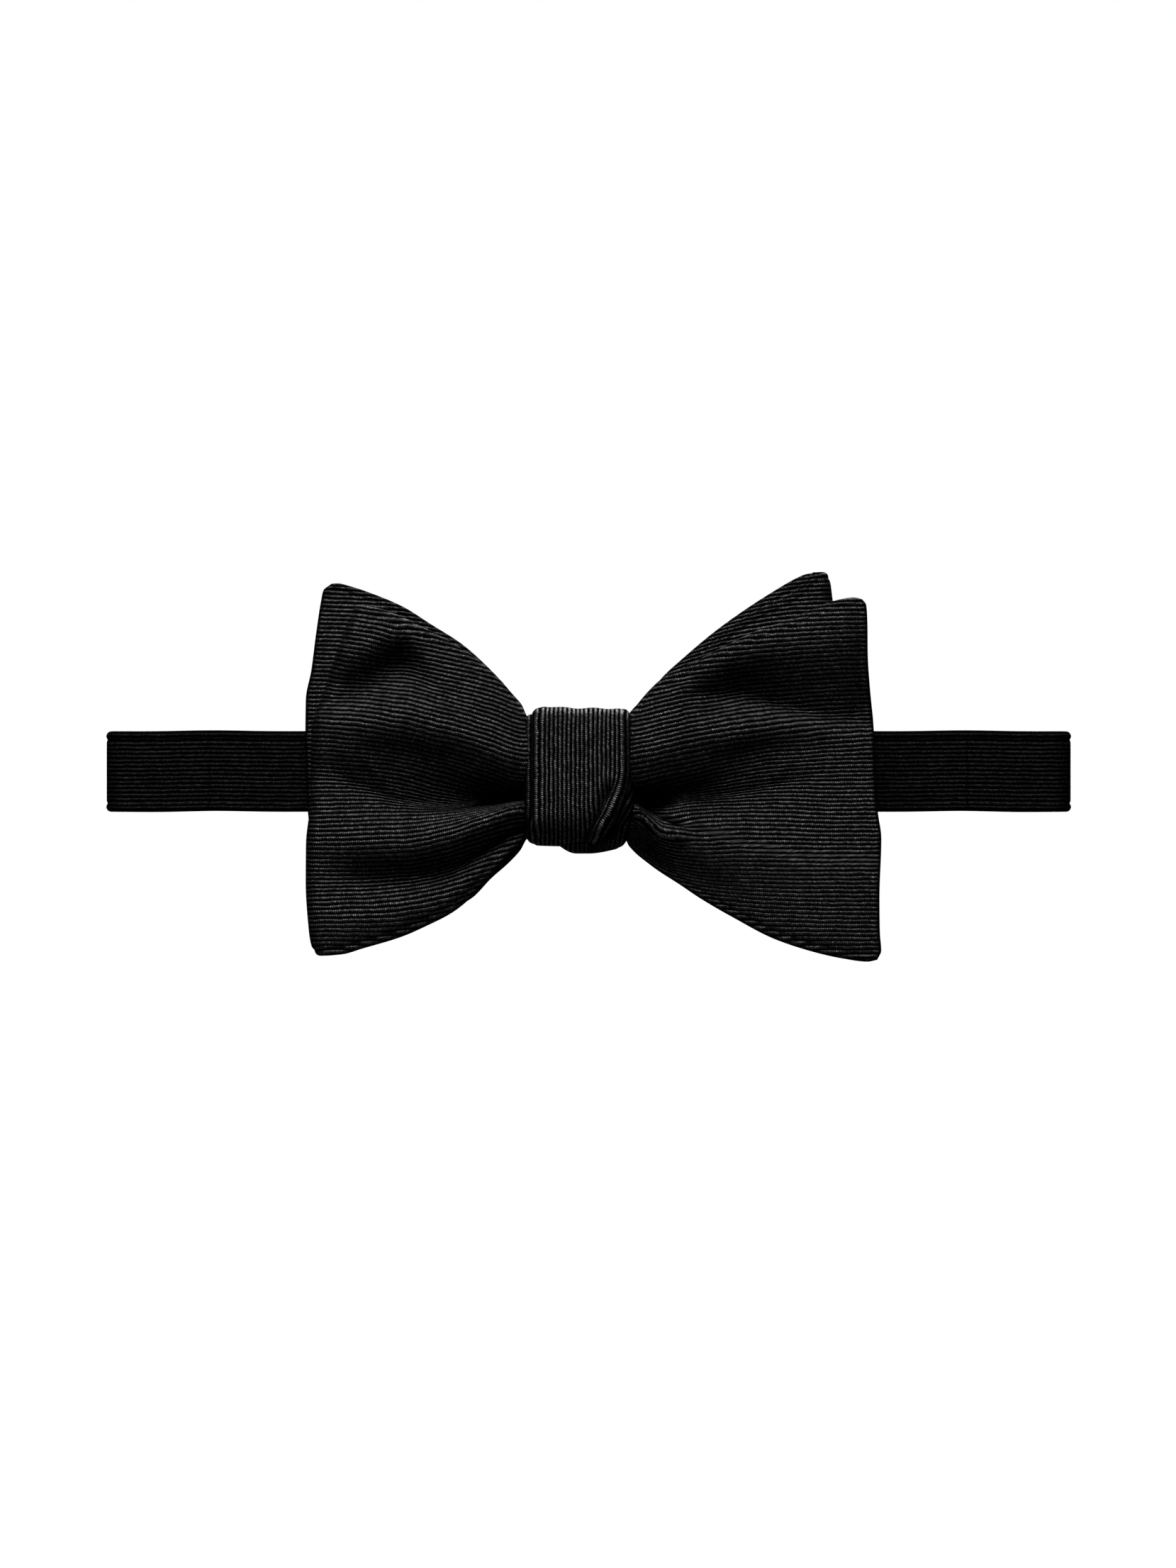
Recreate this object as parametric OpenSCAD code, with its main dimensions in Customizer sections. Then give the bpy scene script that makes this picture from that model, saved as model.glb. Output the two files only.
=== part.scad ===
// Self-tie butterfly bow tie of ribbed silk, tied, with its adjustable neckband laid flat.
// Upright as worn: +Z is up, the knot faces -Y, +X is the viewer's right.
// The origin is the middle of the band's inner face behind the knot, where the tie meets the collar.

/* [Neckband] */
// Half the length of the loop when it is laid flat
loop_half = 99.4; // [85:0.1:115]
// Height of the band
band_w = 16.6; // [12:0.1:22]
// Thickness of the band: two turned silk faces and the interlining
band_t = 1.8; // [1.6:0.1:2.4]
// Radius of the band's middle layer at the two side folds
fold_r = 3.6; // [3.4:0.1:5]

/* [Knot] */
// Left edge of the knot
knot_left = -13.0; // [-15:0.1:-11]
// Right edge of the knot
knot_right = 8.4; // [7:0.1:10]
// Top of the knot
knot_top = 13.1; // [11:0.1:15]
// Bottom of the knot
knot_bottom = -15.1; // [-17:0.1:-13]
// Depth of the knot from its back to its front
knot_depth = 16.7; // [15:0.1:19]

/* [Wings] */
// Highest point of the outer edges
tip_top = 38.6; // [34:0.1:42]
// Highest point of the back loop, which stands above the other edges
back_loop_top = 40.6; // [36:0.1:44]
// Lowest point of the outer edges
tip_bottom = -38.4; // [-42:0.1:-34]
// How fast the wings flare from the knot
flare_power = 1.8; // [1.4:0.1:2.2]
// Depth of the gathers beside the knot
gather = 1.5; // [0:0.1:1.6]

/* [Clasp] */
// Thickness of the wire of the hook's bar and the ring
wire_d = 1.2; // [1:0.1:1.3]
// Width of the hook's tongue
tongue_w = 9.0; // [6:0.5:12]
// Travel of the hook in its loop
hook_travel = 4.5; // [4:0.1:5]
// Place of the size slider along the band
slider_x = -42; // [-46:0.5:-38]

/* [Hidden] */
$fn = 48;
silk_t = 0.45;
core_t = 0.6;
play = 0.05;
wall = silk_t + play;

front_y = -band_t / 2;
fold_y = front_y + fold_r;
rear_y = front_y + 2 * fold_r;
fold_x = loop_half - fold_r - band_t / 2;
knot_link = 26;
side_link = 61;
link_gap = 0.6;
fold_gap_angle = 13.4;
fold_hinge_angle = 45;

knot_back_y = -2.3;
knot_front_y = knot_back_y - knot_depth;
knot_corner = 5;
curl_r = 12.7;
curl_x = knot_right - curl_r + 0.1;
curl_z = -3;
under_turn_y = -7;
under_turn_depth = 7;
under_turn_right = 8.8;
waist_split_y = -9.05;
waist_play = 0.3;
root_gap = 0.8;

leaf_t = 2 * silk_t + core_t + 2 * play;
leaf_steps = 11;
turn_steps = 6;
rows = 11;

// Each wing: [root x, tip x at its top, middle and bottom, tip z at its top and bottom].
LEFT_FRONT = [knot_left - root_gap, -47.3, -55.4, -55.4, 34.0, tip_bottom + 0.6];
LEFT_BACK = [knot_left - root_gap, -53.6, -58.1, -56.6, tip_top, -34.0];
RIGHT_FRONT = [knot_right + root_gap, 56.3, 58.4, 59.2, 35.2, tip_bottom];
RIGHT_BACK = [knot_right + root_gap, 48.2, 51.8, 52.6, back_loop_top, -35.0];
root_top = 12.0;
root_bottom = -13.6;

// Depths of the leaves' middle layers: [at the knot, at the tip].
LEFT_FRONT_FACE = [-11.6, -11.6];
LEFT_FRONT_REAR = [-7.9, -7.4];
LEFT_BACK_FACE = [-4.3, -4.1];
RIGHT_FRONT_FACE = [-11.8, -11.6];
RIGHT_BACK_FACE = [-7.9, -7.7];
RIGHT_BACK_REAR = [-4.5, -4.0];

loop_wall = 1.0;
bar_r = wire_d / 2;
slot_half = bar_r + 0.1;
clasp_y = rear_y + 0.8;
hook_bar_x = -14;
ring_near_x = 2;
ring_far_x = 10;
ring_near_y = clasp_y + 1.2;
tongue_t = 0.8;
tongue_tip = 3;
clasp_half = band_w / 2 + 1.0;
tail_y = rear_y + band_t / 2 + 0.2;
tail_t = 0.9;
tail_end_x = -49;
slider_w = 8.5;
slider_t = 0.9;
slider_y = tail_y + tail_t + 0.6;
slider_bar = 1.3;
tack_h = 12;
tack_w = 1.4;
tack_t = 0.33;
tack_play = 0.02;
band_end_x = 16.6;
end_gap = 0.1;
ring_hem = 3.4;
loop_play = 0.05;
arm_w = 1;
plate_w = 1.4;
bight_t = 0.45;
bight_play = 0.1;

silk = [0.07, 0.07, 0.08];
canvas_grey = [0.55, 0.53, 0.48];
thread_black = [0.12, 0.12, 0.13];
nickel = [0.75, 0.75, 0.77];

function mix(a, b, t) = a + (b - a) * t;
function side_of(wing) = sign(wing[1]);
function bend_through(a, b, c, t) = a * (1 - t) * (1 - 2 * t) + 4 * b * t * (1 - t) + c * t * (2 * t - 1);
function tip_x(wing, v) = bend_through(wing[3], wing[2], wing[1], v);
function flare(s, root, tip) = root + (tip - root) * (1 - pow(1 - s, flare_power));
function leaf_z(wing, s, v) = mix(flare(s, root_bottom, wing[5]), flare(s, root_top, wing[4]), v);
function gathers(s, v) = gather * pow(1 - s, 1.2) * cos(360 * 1.5 * v + 40);
function leaf_y(depths, s, v) = mix(depths[0], depths[1], s) + gathers(s, v) * (depths[0] < -9 ? 1 : 0.25);

// One leaf's surface at a distance behind (+) or in front of (-) its middle layer.
function leaf_surface(wing, depths, away) = [
    for (i = [0:leaf_steps]) [
        for (j = [0:rows])
            let (s = i / leaf_steps, v = j / rows)
            [mix(wing[0], tip_x(wing, v), s), leaf_y(depths, s, v) + away, leaf_z(wing, s, v)]
    ]
];

// A loop's surface: out along the face leaf, round the fold and back along the rear leaf.
function loop_surface(wing, face, rear, away) =
    let (r = (rear[1] - face[1]) / 2, mid_y = (rear[1] + face[1]) / 2, side = side_of(wing))
    concat(
        [for (i = [0:leaf_steps]) [
            for (j = [0:rows])
                let (s = i / leaf_steps, v = j / rows)
                [mix(wing[0], tip_x(wing, v) - side * r, s), leaf_y(face, s, v) - away, leaf_z(wing, s, v)]
        ]],
        [for (k = [1:turn_steps - 1]) [
            for (j = [0:rows])
                let (v = j / rows, turn = 180 * k / turn_steps)
                [tip_x(wing, v) - side * r + side * (r + away) * sin(turn),
                    mid_y - (r + away) * cos(turn), leaf_z(wing, 1, v)]
        ]],
        [for (i = [0:leaf_steps]) [
            for (j = [0:rows])
                let (s = 1 - i / leaf_steps, v = j / rows)
                [mix(wing[0], tip_x(wing, v) - side * r, s), leaf_y(rear, s, v) + away, leaf_z(wing, s, v)]
        ]]
    );

// A closed solid between two grids of points of the same size. turned says which way the grids face.
module between(upper, lower, turned) {
    n = len(upper);
    m = len(upper[0]);
    points = concat([for (row = upper) each row], [for (row = lower) each row]);
    function at(i, j, under) = (under ? n * m : 0) + i * m + j;
    top = [for (i = [0:n - 2]) for (j = [0:m - 2])
        [at(i, j, false), at(i, j + 1, false), at(i + 1, j + 1, false), at(i + 1, j, false)]];
    under = [for (i = [0:n - 2]) for (j = [0:m - 2])
        [at(i, j, true), at(i + 1, j, true), at(i + 1, j + 1, true), at(i, j + 1, true)]];
    ends = [for (i = [0:n - 2]) each [
        [at(i, 0, false), at(i + 1, 0, false), at(i + 1, 0, true), at(i, 0, true)],
        [at(i, m - 1, true), at(i + 1, m - 1, true), at(i + 1, m - 1, false), at(i, m - 1, false)]]];
    sides = [for (j = [0:m - 2]) each [
        [at(0, j, true), at(0, j + 1, true), at(0, j + 1, false), at(0, j, false)],
        [at(n - 1, j, false), at(n - 1, j + 1, false), at(n - 1, j + 1, true), at(n - 1, j, true)]]];
    quads = concat(top, under, ends, sides);
    tris = [for (q = quads) each [[q[0], q[1], q[2]], [q[0], q[2], q[3]]]];
    polyhedron(points, turned ? [for (t = tris) [t[2], t[1], t[0]]] : tris);
}

// Where each ply of a leaf lies, from its front face.
function ply_span(ply) =
    ply == "face" ? [0, silk_t]
    : ply == "interlining" ? [wall, wall + core_t]
    : [wall + core_t + play, leaf_t];

module leaf(wing, depths, ply) {
    span = ply_span(ply);
    between(
        leaf_surface(wing, depths, span[0] - leaf_t / 2),
        leaf_surface(wing, depths, span[1] - leaf_t / 2),
        side_of(wing) < 0);
}

module loop(wing, face, rear, ply) {
    span = ply_span(ply);
    between(
        loop_surface(wing, face, rear, leaf_t / 2 - span[0]),
        loop_surface(wing, face, rear, leaf_t / 2 - span[1]),
        side_of(wing) < 0);
}

// The band's section, drawn thickness by height, drawn in by inset.
module band_section(inset) {
    r = band_t / 2 - inset;
    square([2 * r, band_w - band_t], center = true);
    for (s = [-1, 1]) translate([0, s * (band_w - band_t) / 2]) circle(r);
}

module silk_section() {
    difference() {
        band_section(0);
        band_section(silk_t);
    }
}

// Lays a section drawn in (y, z) along x from x1 to x2.
module along_x(x1, x2) {
    translate([x1, 0, 0]) rotate([90, 0, 90]) linear_extrude(x2 - x1) children();
}

module straight(x1, x2, y, core = false) {
    translate([0, y, 0]) along_x(min(x1, x2), max(x1, x2))
        if (core) band_section(wall);
        else silk_section();
}

// A turn of the band round a side fold, between two angles of the left fold.
module turned_band(from, to, core = false) {
    translate([-fold_x, fold_y, 0]) rotate([0, 0, from]) rotate_extrude(angle = to - from)
        translate([fold_r, 0])
            if (core) band_section(wall);
            else silk_section();
}

fold_reach = fold_hinge_angle - fold_gap_angle;

module front_link(core = false) { straight(-knot_link - link_gap, -side_link + link_gap, front_y, core); }
module nape_link(core = false) { straight(-knot_link - link_gap, -side_link + link_gap, rear_y, core); }
module side_link_part(core = false) {
    straight(-side_link - link_gap, -fold_x, front_y, core);
    turned_band(270 - fold_reach, 270, core);
}
module rear_link(core = false) {
    straight(-side_link - link_gap, -fold_x, rear_y, core);
    turned_band(90, 90 + fold_reach, core);
}
module fold_link(core = false) {
    turned_band(90 + fold_hinge_angle + fold_gap_angle, 270 - fold_hinge_angle - fold_gap_angle, core);
}

module on_right() { mirror([1, 0, 0]) children(); }

module front_band() {
    color(silk) straight(-knot_link + link_gap, knot_link - link_gap, front_y);
}
module front_band_interlining() {
    color(canvas_grey) straight(-knot_link + link_gap, knot_link - link_gap, front_y, true);
}
module left_front_band() { color(silk) front_link(); }
module left_front_band_interlining() { color(canvas_grey) front_link(true); }
module left_side_band() { color(silk) side_link_part(); }
module left_side_band_interlining() { color(canvas_grey) side_link_part(true); }
module left_fold_band() { color(silk) fold_link(); }
module left_fold_band_interlining() { color(canvas_grey) fold_link(true); }
module left_rear_band() { color(silk) rear_link(); }
module left_rear_band_interlining() { color(canvas_grey) rear_link(true); }
module left_nape_band() { color(silk) nape_link(); }
module left_nape_band_interlining() { color(canvas_grey) nape_link(true); }
module right_front_band() { color(silk) on_right() front_link(); }
module right_front_band_interlining() { color(canvas_grey) on_right() front_link(true); }
module right_side_band() { color(silk) on_right() side_link_part(); }
module right_side_band_interlining() { color(canvas_grey) on_right() side_link_part(true); }
module right_fold_band() { color(silk) on_right() fold_link(); }
module right_fold_band_interlining() { color(canvas_grey) on_right() fold_link(true); }
module right_rear_band() { color(silk) on_right() rear_link(); }
module right_rear_band_interlining() { color(canvas_grey) on_right() rear_link(true); }
module right_nape_band() { color(silk) on_right() nape_link(); }
module right_nape_band_interlining() { color(canvas_grey) on_right() nape_link(true); }

// The knot's outline from the front: a rectangle whose lower right corner curls under.
module knot_outline() {
    intersection() {
        translate([knot_left, knot_bottom])
            square([knot_right - knot_left, knot_top - knot_bottom]);
        union() {
            translate([curl_x, curl_z]) circle(curl_r);
            translate([knot_left, curl_z]) square([knot_right - knot_left, knot_top - curl_z]);
            translate([knot_left, knot_bottom]) square([curl_x - knot_left, knot_top - knot_bottom]);
        }
    }
}

module rounded_box(y1, y2, z1, z2, r) {
    translate([y1 + r, z1]) square([y2 - y1 - 2 * r, z2 - z1]);
    translate([y1, z1 + r]) square([y2 - y1, z2 - z1 - 2 * r]);
    for (y = [y1 + r, y2 - r], z = [z1 + r, z2 - r]) translate([y, z]) circle(r);
}

// The knot's section across x, drawn in by inset.
module knot_section(inset) {
    rounded_box(knot_front_y + inset, knot_back_y - inset, knot_bottom + inset, knot_top - inset,
        knot_corner - inset);
}

// Everything behind and in front of the knot's outline.
module knot_prism() { rotate([90, 0, 0]) linear_extrude(4 * knot_depth, center = true) knot_outline(); }

// A sleeve round the waist of the bow, between two depths into the wrap.
module wrap_ply(outer, inner) {
    intersection() {
        along_x(knot_left, knot_right) difference() {
            knot_section(outer);
            knot_section(inner);
        }
        knot_prism();
    }
}

// The gathered cloth inside the knot, between two depths.
module waist(y1, y2) {
    intersection() {
        along_x(knot_left, knot_right) intersection() {
            knot_section(leaf_t + waist_play);
            translate([y1, knot_bottom]) square([y2 - y1, knot_top - knot_bottom]);
        }
        knot_prism();
    }
}

module knot_wrap_face() { color(silk) wrap_ply(0, silk_t); }
module knot_wrap_interlining() { color(canvas_grey) wrap_ply(wall, wall + core_t); }
module knot_wrap_lining() { color(silk) wrap_ply(wall + core_t + play, leaf_t); }

// The crescent of the wrap's inner turn, which shows below and beside the curl.
module knot_under_turn() {
    shift = [0.3, -0.9];
    grown = 0.35;
    clear = 0.1;
    below = curl_r + 2;
    color(silk) translate([0, under_turn_y, 0]) rotate([90, 0, 0])
        linear_extrude(under_turn_depth) difference() {
            intersection() {
                translate([curl_x + shift[0], curl_z + shift[1]]) circle(curl_r + grown);
                translate([curl_x, curl_z - below]) square([under_turn_right - curl_x, below]);
            }
            translate([curl_x, curl_z]) circle(curl_r + clear);
            translate([knot_left, curl_z - below]) square([curl_x - knot_left + clear, 2 * below]);
        }
}

module front_waist() { color(silk) waist(knot_front_y, waist_split_y - waist_play / 2); }
module back_waist() { color(silk) waist(waist_split_y + waist_play / 2, knot_back_y); }

module front_loop_face() { color(silk) loop(LEFT_FRONT, LEFT_FRONT_FACE, LEFT_FRONT_REAR, "face"); }
module front_loop_interlining() {
    color(canvas_grey) loop(LEFT_FRONT, LEFT_FRONT_FACE, LEFT_FRONT_REAR, "interlining");
}
module front_loop_lining() { color(silk) loop(LEFT_FRONT, LEFT_FRONT_FACE, LEFT_FRONT_REAR, "lining"); }
module back_end_face() { color(silk) leaf(LEFT_BACK, LEFT_BACK_FACE, "face"); }
module back_end_interlining() { color(canvas_grey) leaf(LEFT_BACK, LEFT_BACK_FACE, "interlining"); }
module back_end_lining() { color(silk) leaf(LEFT_BACK, LEFT_BACK_FACE, "lining"); }
module front_end_face() { color(silk) leaf(RIGHT_FRONT, RIGHT_FRONT_FACE, "face"); }
module front_end_interlining() { color(canvas_grey) leaf(RIGHT_FRONT, RIGHT_FRONT_FACE, "interlining"); }
module front_end_lining() { color(silk) leaf(RIGHT_FRONT, RIGHT_FRONT_FACE, "lining"); }
module back_loop_face() { color(silk) loop(RIGHT_BACK, RIGHT_BACK_FACE, RIGHT_BACK_REAR, "face"); }
module back_loop_interlining() {
    color(canvas_grey) loop(RIGHT_BACK, RIGHT_BACK_FACE, RIGHT_BACK_REAR, "interlining");
}
module back_loop_lining() { color(silk) loop(RIGHT_BACK, RIGHT_BACK_FACE, RIGHT_BACK_REAR, "lining"); }

// A box given by its corners.
module block(x1, x2, y1, y2, z_half) {
    translate([x1, y1, -z_half]) cube([x2 - x1, y2 - y1, 2 * z_half]);
}

// A sewn loop of band round a clasp bar: two walls and a round end towards `far`.
module sewn_loop(near, far, over) {
    side = sign(far - near);
    outer = slot_half + loop_wall;
    centre = far - side * outer;
    linear_extrude(band_w, center = true) difference() {
        union() {
            translate([centre, clasp_y]) circle(outer);
            translate([min(near, centre), clasp_y - outer]) square([abs(centre - near), outer]);
            translate([min(over, centre), clasp_y]) square([abs(centre - over), outer]);
        }
        translate([centre, clasp_y]) circle(slot_half);
        translate([min(over, centre) - (side > 0 ? 1 : 0), clasp_y - slot_half])
            square([abs(centre - over) + 1, 2 * slot_half]);
    }
}

hook_loop_far = hook_bar_x + hook_travel + slot_half + loop_wall + loop_play;
ring_loop_far = ring_far_x - slot_half - loop_wall + 2 * loop_play;

module hook_end_band() { color(silk) straight(-knot_link + link_gap, -band_end_x - end_gap, rear_y); }
module hook_end_band_interlining() {
    color(canvas_grey) straight(-knot_link + link_gap, -band_end_x - end_gap, rear_y, true);
}
module ring_end_band() { color(silk) straight(band_end_x + end_gap, knot_link - link_gap, rear_y); }
module ring_end_band_interlining() {
    color(canvas_grey) straight(band_end_x + end_gap, knot_link - link_gap, rear_y, true);
}
module hook_loop() { color(silk) sewn_loop(-band_end_x, hook_loop_far, -band_end_x); }
module ring_loop() { color(silk) sewn_loop(band_end_x, ring_loop_far, band_end_x + ring_hem); }
module hook_end_tail() {
    color(silk) block(-knot_link + link_gap, -band_end_x - end_gap, tail_y, tail_y + tail_t, band_w / 2);
}
module left_nape_tail() {
    color(silk) block(tail_end_x, -knot_link - link_gap, tail_y, tail_y + tail_t, band_w / 2);
}

// A row of dense stitches across the band, lying on a face at y.
module bartack(x, y) {
    color(thread_black)
        block(x - tack_w / 2, x + tack_w / 2, y + tack_play, y + tack_play + tack_t, tack_h / 2);
}
module hook_bartack() { bartack(-band_end_x - 1.9, tail_y + tail_t); }
module ring_bartack() { bartack(band_end_x + 1.7, clasp_y + slot_half + loop_wall); }

// A flat hook: a bar in the band's loop, two arms, a plate and a tongue that turns back over the ring.
module clasp_hook() {
    plate_x = hook_bar_x + hook_travel + slot_half + loop_wall + arm_w;
    ring_play = 0.2;
    bend_r = bar_r + ring_play;
    bend_x = ring_near_x + ring_play;
    round = bend_r + tongue_t;
    bend_y = ring_near_y;
    plate_y = bend_y - bend_r - tongue_t;
    color(nickel) {
        translate([hook_bar_x, clasp_y, 0])
            cylinder(h = 2 * (clasp_half + arm_w), r = bar_r, center = true);
        for (s = [-1, 1])
            translate([hook_bar_x, plate_y, s * (clasp_half + arm_w / 2) - arm_w / 2])
                cube([plate_x + plate_w - hook_bar_x, tongue_t, arm_w]);
        block(plate_x, plate_x + plate_w, plate_y, plate_y + tongue_t, clasp_half + arm_w);
        linear_extrude(tongue_w, center = true) {
            translate([plate_x, plate_y]) square([bend_x - plate_x, tongue_t]);
            intersection() {
                difference() {
                    translate([bend_x, bend_y]) circle(round);
                    translate([bend_x, bend_y]) circle(bend_r);
                }
                translate([bend_x, bend_y - round]) square([round, 2 * round]);
            }
            translate([bend_x - tongue_tip, bend_y + bend_r]) square([tongue_tip, tongue_t]);
        }
    }
}

// A rectangle of wire: one bar under the hook's tongue, the other in the band's loop.
module clasp_ring() {
    run = ring_far_x - ring_near_x;
    drop = clasp_y - ring_near_y;
    tilt = atan2(drop, run);
    color(nickel) translate([ring_near_x, ring_near_y, 0]) rotate([0, 0, tilt]) {
        for (x = [0, norm([run, drop])]) {
            translate([x, 0, 0]) cylinder(h = 2 * clasp_half, r = bar_r, center = true);
            for (s = [-1, 1]) translate([x, 0, s * clasp_half]) sphere(bar_r);
        }
        for (s = [-1, 1]) translate([0, 0, s * clasp_half]) rotate([0, 90, 0])
            cylinder(h = norm([run, drop]), r = bar_r);
    }
}

// A slider of three bars; the end of the doubled band is sewn round the middle one.
module slider_frame() {
    rim = 1.1;
    through = 1;
    window = (slider_w - slider_bar) / 2 - rim;
    color(nickel) difference() {
        block(slider_x - slider_w / 2, slider_x + slider_w / 2, slider_y, slider_y + slider_t,
            clasp_half + 0.6);
        for (s = [-1, 1])
            translate([s * (slider_bar + window) / 2, 0, 0])
                block(slider_x - window / 2, slider_x + window / 2, slider_y - through,
                    slider_y + slider_t + through, clasp_half - 0.6);
    }
}

// A box round the slider's middle bar, grown on every side by away.
module round_bar(away, z_half) {
    block(slider_x - slider_bar / 2 - away, slider_x + slider_bar / 2 + away,
        slider_y - away, slider_y + slider_t + away, z_half);
}
module slider_bight() {
    color(silk) difference() {
        round_bar(bight_t + bight_play, band_w / 2);
        round_bar(bight_play, band_w);
    }
}

front_band();
front_band_interlining();
knot_wrap_face();
knot_wrap_interlining();
knot_wrap_lining();
knot_under_turn();
front_waist();
back_waist();
front_loop_face();
front_loop_interlining();
front_loop_lining();
back_end_face();
back_end_interlining();
back_end_lining();
front_end_face();
front_end_interlining();
front_end_lining();
back_loop_face();
back_loop_interlining();
back_loop_lining();
left_front_band();
left_front_band_interlining();
left_side_band();
left_side_band_interlining();
left_fold_band();
left_fold_band_interlining();
left_rear_band();
left_rear_band_interlining();
left_nape_band();
left_nape_band_interlining();
left_nape_tail();
hook_end_band();
hook_end_band_interlining();
hook_end_tail();
hook_loop();
hook_bartack();
right_front_band();
right_front_band_interlining();
right_side_band();
right_side_band_interlining();
right_fold_band();
right_fold_band_interlining();
right_rear_band();
right_rear_band_interlining();
right_nape_band();
right_nape_band_interlining();
ring_end_band();
ring_end_band_interlining();
ring_loop();
ring_bartack();
clasp_hook();
clasp_ring();
slider_frame();
slider_bight();
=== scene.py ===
"""A tied bow tie of black ribbed silk with its adjustable neckband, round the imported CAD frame.

Lengths are millimetres in the part's own frame: +X is to the viewer's right, +Z up and -Y towards the
viewer.
"""
import math

import bpy
import numpy as np
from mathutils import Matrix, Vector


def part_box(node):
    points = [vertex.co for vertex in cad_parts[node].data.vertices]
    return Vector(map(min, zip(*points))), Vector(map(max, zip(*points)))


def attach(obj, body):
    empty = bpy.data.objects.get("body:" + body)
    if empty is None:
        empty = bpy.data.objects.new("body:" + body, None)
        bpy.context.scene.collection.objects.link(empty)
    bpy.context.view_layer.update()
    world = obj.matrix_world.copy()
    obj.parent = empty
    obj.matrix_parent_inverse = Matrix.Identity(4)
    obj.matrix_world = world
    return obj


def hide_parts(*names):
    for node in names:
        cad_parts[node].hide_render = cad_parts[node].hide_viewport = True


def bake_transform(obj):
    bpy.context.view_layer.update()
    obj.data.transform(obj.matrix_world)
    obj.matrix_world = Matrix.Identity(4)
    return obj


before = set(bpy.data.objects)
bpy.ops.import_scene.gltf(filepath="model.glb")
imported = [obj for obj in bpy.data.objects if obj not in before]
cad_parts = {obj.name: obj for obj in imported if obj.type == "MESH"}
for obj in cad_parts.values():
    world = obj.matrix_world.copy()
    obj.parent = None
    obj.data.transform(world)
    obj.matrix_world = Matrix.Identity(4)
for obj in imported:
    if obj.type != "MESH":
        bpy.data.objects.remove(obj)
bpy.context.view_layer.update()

MM = 0.001
RIB_PITCH = 0.88
YARN_PITCH = 0.40
LEAF_T = 1.6
WRAP_T = 1.5
INNER_TURN_T = 1.3
BAND_T = 1.8
LOOP_T = 0.95
TAIL_T = 0.85
BIGHT_T = 0.45


# ---- Curves --------------------------------------------------------------------------------------

def steady(at, value, x):
    """A curve through knots that never overshoots them. at and value have one row per knot, and x has one
    entry per sample."""
    x = np.asarray(x, float)
    at = np.asarray(at, float)
    value = np.asarray(value, float)
    if at.ndim == 1:
        at = at[:, None] * np.ones(x.size)
    if value.ndim == 1:
        value = value[:, None] * np.ones(x.size)
    step = np.diff(at, axis=0)
    slope = np.diff(value, axis=0) / step
    tangent = np.zeros_like(value)
    tangent[0] = slope[0]
    tangent[-1] = slope[-1]
    before = 2 * step[1:] + step[:-1]
    after = step[1:] + 2 * step[:-1]
    with np.errstate(divide="ignore", invalid="ignore"):
        blended = (before + after) / (before / slope[:-1] + after / slope[1:])
    tangent[1:-1] = np.where(slope[:-1] * slope[1:] > 0, blended, 0)
    k = np.clip((x[None, :] >= at[1:-1]).sum(axis=0), 0, len(at) - 2)[None, :]

    def pick(rows):
        return np.take_along_axis(rows, k, axis=0)[0]

    h = pick(step)
    t = np.clip((x - pick(at[:-1])) / h, 0, 1)
    start = (1 + 2 * t) * (1 - t) ** 2 * pick(value[:-1]) + t * (1 - t) ** 2 * h * pick(tangent[:-1])
    return start + t * t * (3 - 2 * t) * pick(value[1:]) + t * t * (t - 1) * h * pick(tangent[1:])


class Line:
    """A smooth line through a few points, read by its share of the whole length."""

    def __init__(self, points):
        points = np.asarray(points, float)
        run = np.concatenate([[0], np.cumsum(np.linalg.norm(np.diff(points, axis=0), axis=1))])
        fine = np.linspace(0, run[-1], 600)
        self.points = np.column_stack([steady(run, points[:, k], fine) for k in range(points.shape[1])])
        steps = np.linalg.norm(np.diff(self.points, axis=0), axis=1)
        self.run = np.concatenate([[0], np.cumsum(steps)])
        self.length = self.run[-1]

    def at(self, share):
        where = np.asarray(share) * self.length
        return np.stack([np.interp(where, self.run, p) for p in self.points.T], axis=-1)


def spread(length, step, edge_rows):
    """Places from 0 to length: at edge_rows from each end, and about step apart between."""
    inner = np.linspace(edge_rows[-1], length - edge_rows[-1], max(3, int(length / step)))
    return np.concatenate([edge_rows[:-1], inner, length - np.array(edge_rows[:-1])[::-1]])


def smooth_step(a, b, x):
    t = np.clip((x - a) / (b - a), 0, 1)
    return t * t * (3 - 2 * t)


def hump(x, middle, width):
    return np.exp(-(((x - middle) / width) ** 2))


# ---- Sheets of cloth -----------------------------------------------------------------------------

def grid_normals(points):
    along = np.gradient(points, axis=0)
    across = np.gradient(points, axis=1)
    normal = np.cross(along, across)
    size = np.linalg.norm(normal, axis=2, keepdims=True)
    return normal / np.maximum(size, 1e-9)


def arc_run(points, axis):
    """Each point's distance along its row or column of a grid, from the first."""
    steps = np.linalg.norm(np.diff(points, axis=axis), axis=2)
    pad = [(0, 0), (0, 0)]
    pad[axis] = (1, 0)
    return np.cumsum(np.pad(steps, pad), axis=axis)


def edge_profile(distance, thickness):
    """Half the thickness at a distance from a turned edge: round, a little full, then a shallow groove."""
    half = thickness / 2
    rounded = np.sqrt(np.clip(1 - (1 - np.clip(distance / half, 0, 1)) ** 2, 0, 1))
    return half * rounded * (1 + 0.10 * hump(distance, 1.0, 0.5) - 0.22 * hump(distance, 1.75, 0.28))


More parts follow.
